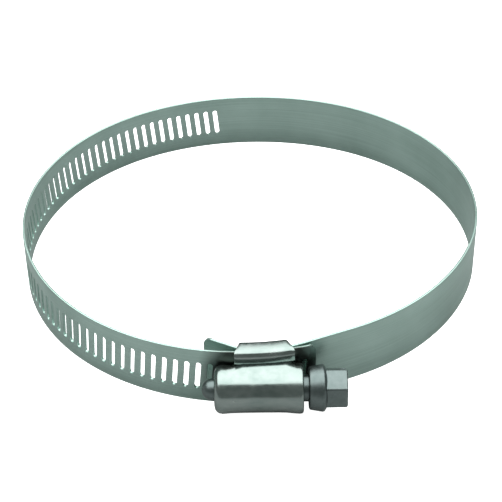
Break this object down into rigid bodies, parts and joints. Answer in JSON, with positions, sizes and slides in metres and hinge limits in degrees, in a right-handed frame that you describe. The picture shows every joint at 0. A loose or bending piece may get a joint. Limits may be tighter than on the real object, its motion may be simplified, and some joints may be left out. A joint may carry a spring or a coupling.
{
  "type": "hose clamp",
  "caption": "Worm-drive hose clamp: a slotted steel band wraps a hose and passes between a saddle and a screw housing, and a hex-headed worm screw draws it tight.",
  "frame": {"origin": "Centre of the slotted end's arc, half way across the band's width, on the hose's axis.", "axes": "+X along the screw towards its hex head, +Y from the housing across the ring, +Z along the hose."},
  "size_m": [0.109, 0.1148, 0.0164],
  "materials": {
    "band_steel": "satin, brushed along its length",
    "housing_steel": "pressed, semi-bright",
    "screw_steel": "plated, semi-bright, darker"
  },
  "bodies": {
    "housing": {"housing": "housing_steel", "saddle": "housing_steel", "tongue": "band_steel"},
    "screw": {"screw": "screw_steel", "screw_thread": "screw_steel"},
    "slotted_end": {"slotted_end": "band_steel"},
    "left_short_band": {"left_short_band": "band_steel"},
    "left_long_band": {"left_long_band": "band_steel"},
    "rear_left_band": {"rear_left_band": "band_steel"},
    "rear_right_band": {"rear_right_band": "band_steel"},
    "right_long_band": {"right_long_band": "band_steel"},
    "right_short_band": {"right_short_band": "band_steel"},
    "plain_end": {"plain_end": "band_steel"}
  },
  "joints": [
    {"name": "screw_turn", "type": "hinge", "parent": "housing", "child": "screw", "pos_m": [0.003, -0.05638, 0], "axis": [-1, 0, 0], "range_deg": [0, 7200]},
    {"name": "band_feed", "type": "hinge", "parent": "housing", "child": "slotted_end", "pos_m": [0, 0, 0], "axis": [0, 0, 1], "range_deg": [0, 55.36]},
    {"name": "left_short_flex", "type": "hinge", "parent": "slotted_end", "child": "left_short_band", "pos_m": [-0.0496, -0.01751, 0], "axis": [0, 0, 1], "range_deg": [-11.1, 0]},
    {"name": "left_long_flex", "type": "hinge", "parent": "left_short_band", "child": "left_long_band", "pos_m": [-0.05204, -0.00767, 0], "axis": [0, 0, 1], "range_deg": [-5.77, 0]},
    {"name": "rear_left_flex", "type": "hinge", "parent": "left_long_band", "child": "rear_left_band", "pos_m": [0.01279, 0.0518, 0], "axis": [0, 0, 1], "range_deg": [-6.23, 0]},
    {"name": "rear_right_flex", "type": "hinge", "parent": "rear_left_band", "child": "rear_right_band", "pos_m": [0.02337, 0.04884, 0], "axis": [0, 0, 1], "range_deg": [-11.09, 0]},
    {"name": "right_long_flex", "type": "hinge", "parent": "rear_right_band", "child": "right_long_band", "pos_m": [0.03313, 0.04382, 0], "axis": [0, 0, 1], "range_deg": [-7.9, 0]},
    {"name": "right_short_flex", "type": "hinge", "parent": "right_long_band", "child": "right_short_band", "pos_m": [0.033, -0.03982, 0], "axis": [0, 0, 1], "range_deg": [-2.3, 0]},
    {"name": "plain_end_flex", "type": "hinge", "parent": "right_short_band", "child": "plain_end", "pos_m": [0.0234, -0.04515, 0], "axis": [0, 0, 1], "range_deg": [-11.09, 0]}
  ],
  "couplings": [
    {"joint": "band_feed", "follows": "screw_turn", "ratio": 0.0076854},
    {"joint": "left_short_flex", "follows": "screw_turn", "ratio": -0.0015386},
    {"joint": "left_long_flex", "follows": "screw_turn", "ratio": -0.00079852},
    {"joint": "rear_left_flex", "follows": "screw_turn", "ratio": -0.00086231},
    {"joint": "rear_right_flex", "follows": "screw_turn", "ratio": -0.0015379},
    {"joint": "right_long_flex", "follows": "screw_turn", "ratio": -0.0010944},
    {"joint": "right_short_flex", "follows": "screw_turn", "ratio": -0.00031664},
    {"joint": "plain_end_flex", "follows": "screw_turn", "ratio": -0.0015379}
  ]
}
